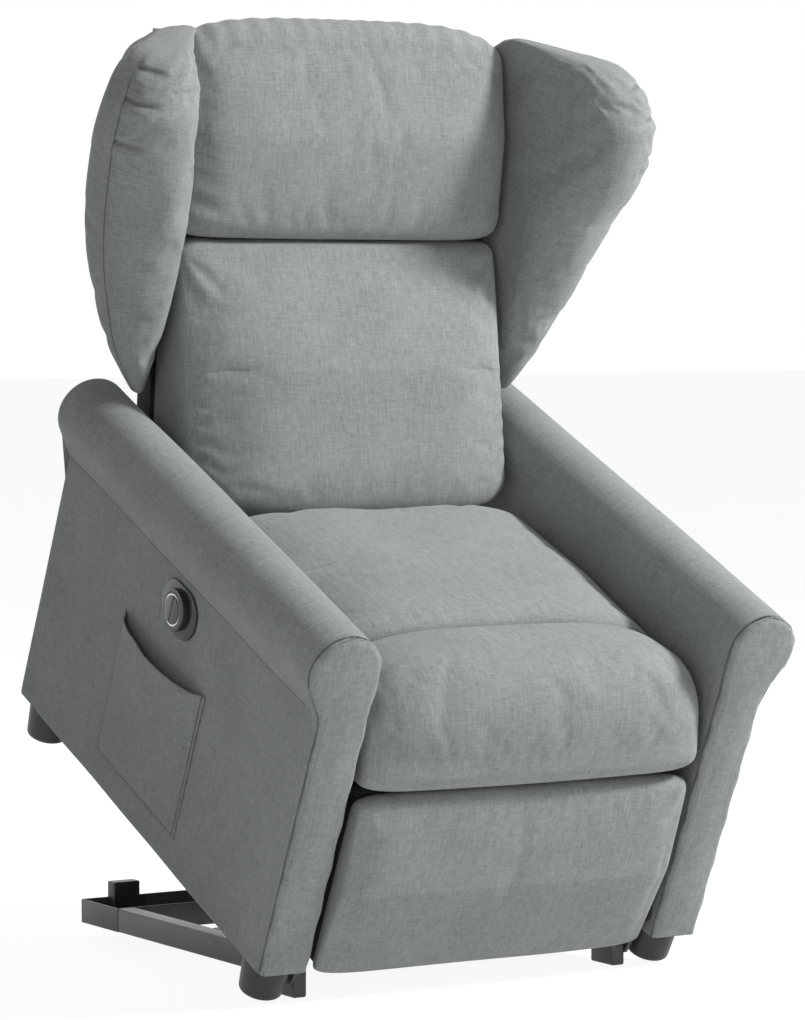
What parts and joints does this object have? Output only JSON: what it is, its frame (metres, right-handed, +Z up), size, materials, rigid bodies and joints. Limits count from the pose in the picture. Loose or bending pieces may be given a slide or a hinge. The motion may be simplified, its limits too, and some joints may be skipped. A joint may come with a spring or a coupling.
{
  "type": "lift recliner chair",
  "caption": "Upholstered wing-back recliner with scroll arms, a hinged legrest and a steel floor base that tilts and raises the whole seat to help its user stand.",
  "frame": {"origin": "on the floor, under the middle of the object's bounding box at rest, with the chair raised", "axes": "+Z up, the chair faces -Y, +X is to the right of someone looking at its front"},
  "size_m": [0.8872, 0.9378, 1.3426],
  "materials": {
    "fabric": "matte linen-look weave, mid grey with a slight green tint",
    "webbing": "woven elastic webbing",
    "lining": "dark lining cloth stapled over the wooden frames",
    "base_steel": "satin gunmetal powder coat",
    "mechanism_steel": "black powder coat",
    "pin_steel": "zinc plated",
    "black_plastic": "fine moulded grain",
    "motor_plastic": "satin moulded",
    "control_gloss": "glossy black",
    "bright_ring": "polished",
    "button_plastic": "satin black"
  },
  "bodies": {
    "base": {"base_rail_left": "base_steel", "base_rail_right": "base_steel", "base_rear_channel": "base_steel", "base_crossbar": "base_steel", "front_leg_left": "base_steel", "front_leg_right": "base_steel", "lift_ear_left": "base_steel", "lift_ear_right": "base_steel", "rear_glides": "black_plastic", "bump_stops": "black_plastic", "actuator_tail_bracket": "base_steel", "actuator_tail_pin": "pin_steel"},
    "actuator": {"actuator_housing": "black_plastic", "actuator_motor": "motor_plastic"},
    "actuator_rod": {"actuator_rod": "pin_steel", "actuator_head_pin": "pin_steel"},
    "legrest_front_arms": {"legrest_drive_tube": "mechanism_steel", "legrest_front_links": "mechanism_steel"},
    "legrest_rear_arms": {"legrest_rear_links": "mechanism_steel"},
    "legrest_carrier": {"legrest_carriers": "mechanism_steel", "legrest_pins": "pin_steel"},
    "legrest_board": {"legrest_panel": "lining", "legrest_pad": "fabric", "legrest_board_ears": "mechanism_steel"},
    "back": {"back_frame": "lining", "back_cover": "fabric", "recline_brackets": "mechanism_steel", "lumbar_cushion": "fabric", "head_cushion": "fabric", "wing_left": "fabric", "wing_right": "fabric"},
    "button_raise": {"button_raise": "button_plastic"},
    "button_recline": {"button_recline": "button_plastic"},
    "chair": {"arm_facing_left": "fabric", "arm_facing_right": "fabric", "arm_panel_left": "fabric", "arm_panel_right": "fabric", "arm_roll_left": "fabric", "arm_roll_right": "fabric", "control_bezel": "control_gloss", "control_boss": "control_gloss", "control_box": "black_plastic", "control_ring": "bright_ring", "foot_front_left": "black_plastic", "foot_front_right": "black_plastic", "foot_rear_left": "black_plastic", "foot_rear_right": "black_plastic", "lift_cross_tube": "base_steel", "lift_pivot_pins": "pin_steel", "lift_pivot_plates": "base_steel", "mechanism_plate_left": "mechanism_steel", "mechanism_plate_right": "mechanism_steel", "power_inlet": "black_plastic", "rear_arm_pins": "pin_steel", "recline_pins": "pin_steel", "seat_cushion": "fabric", "seat_frame": "lining", "seat_front_roll": "fabric", "seat_webbing": "webbing", "side_pocket": "fabric"}
  },
  "joints": [
    {"name": "lift", "type": "hinge", "parent": "base", "child": "chair", "pos_m": [0, -0.23272, 0.0841], "axis": [-1, 0, 0], "range_deg": [0, 24.41]},
    {"name": "actuator_tilt", "type": "hinge", "parent": "base", "child": "actuator", "pos_m": [0, 0.34138, 0.062], "axis": [-1, 0, 0], "range_deg": [-3.76, 0]},
    {"name": "actuator_stroke", "type": "slide", "parent": "actuator", "child": "actuator_rod", "axis": [0, -0.7511, 0.6601], "range_m": [-0.15151, 0]},
    {"name": "recline", "type": "hinge", "parent": "chair", "child": "back", "pos_m": [0, 0.28079, 0.65637], "axis": [-1, 0, 0], "range_deg": [0, 30]},
    {"name": "legrest", "type": "hinge", "parent": "chair", "child": "legrest_front_arms", "pos_m": [0, -0.19654, 0.29259], "axis": [-1, 0, 0], "range_deg": [0, 108.3]},
    {"name": "legrest_rear", "type": "hinge", "parent": "chair", "child": "legrest_rear_arms", "pos_m": [0, -0.13757, 0.28156], "axis": [-1, 0, 0], "range_deg": [0, 108.3]},
    {"name": "legrest_carry", "type": "hinge", "parent": "legrest_front_arms", "child": "legrest_carrier", "pos_m": [0, -0.07332, 0.16413], "axis": [-1, 0, 0], "range_deg": [-108.3, 0]},
    {"name": "legrest_flip", "type": "hinge", "parent": "legrest_carrier", "child": "legrest_board", "pos_m": [0, -0.2509, 0.18006], "axis": [-1, 0, 0], "range_deg": [0, 86.64]},
    {"name": "press_raise", "type": "slide", "parent": "chair", "child": "button_raise", "axis": [1, 0, 0], "range_m": [0, 0.0015], "stiffness_N_per_m": 400},
    {"name": "press_recline", "type": "slide", "parent": "chair", "child": "button_recline", "axis": [1, 0, 0], "range_m": [0, 0.0015], "stiffness_N_per_m": 400}
  ],
  "couplings": [
    {"joint": "actuator_tilt", "follows": "lift", "ratio": -0.15416},
    {"joint": "actuator_stroke", "follows": "lift", "m_per_rad": -0.35562},
    {"joint": "legrest_rear", "follows": "legrest", "ratio": 1},
    {"joint": "legrest_carry", "follows": "legrest", "ratio": -1},
    {"joint": "legrest_flip", "follows": "legrest", "ratio": 0.8}
  ]
}
